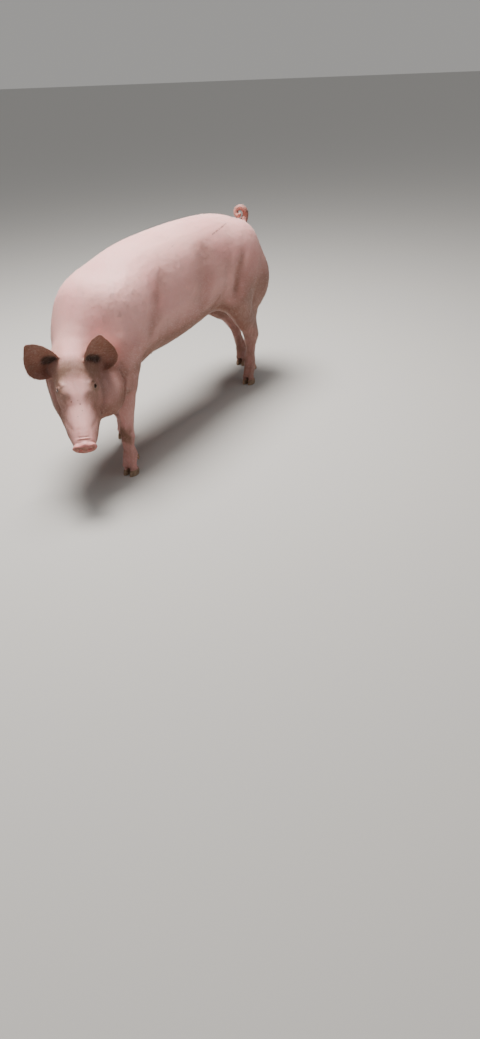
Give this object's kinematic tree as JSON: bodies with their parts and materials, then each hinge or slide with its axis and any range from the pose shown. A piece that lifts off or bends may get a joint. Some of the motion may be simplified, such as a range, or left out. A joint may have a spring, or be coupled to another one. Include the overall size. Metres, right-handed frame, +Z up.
{
  "type": "pig",
  "caption": "Life-size model of a young white domestic pig, walking slowly with its head lowered and turned to its left.",
  "frame": {"origin": "on the floor, under the middle of the whole pig's box", "axes": "+Z up, -Y towards the head, +Y towards the tail, +X on the pig's left"},
  "size_m": [0.3976, 1.4554, 0.761],
  "materials": {
    "skin": "pale pink skin with sparse short bristles",
    "ear": "thin reddish-brown skin",
    "eye": "wet and dark",
    "claw": "dull horn"
  },
  "bodies": {
    "root": {"head": "skin", "neck": "skin", "trunk": "skin", "tail": "skin", "leg_front_left": "skin", "leg_front_right": "skin", "leg_hind_left": "skin", "leg_hind_right": "skin", "ear_left": "ear", "ear_right": "ear", "eye_left": "eye", "eye_right": "eye", "claw_front_left_outer": "claw", "dewclaw_front_left_outer": "claw", "claw_front_left_inner": "claw", "dewclaw_front_left_inner": "claw", "claw_front_right_outer": "claw", "dewclaw_front_right_outer": "claw", "claw_front_right_inner": "claw", "dewclaw_front_right_inner": "claw", "claw_hind_left_outer": "claw", "dewclaw_hind_left_outer": "claw", "claw_hind_left_inner": "claw", "dewclaw_hind_left_inner": "claw", "claw_hind_right_outer": "claw", "dewclaw_hind_right_outer": "claw", "claw_hind_right_inner": "claw", "dewclaw_hind_right_inner": "claw"}
  },
  "joints": []
}
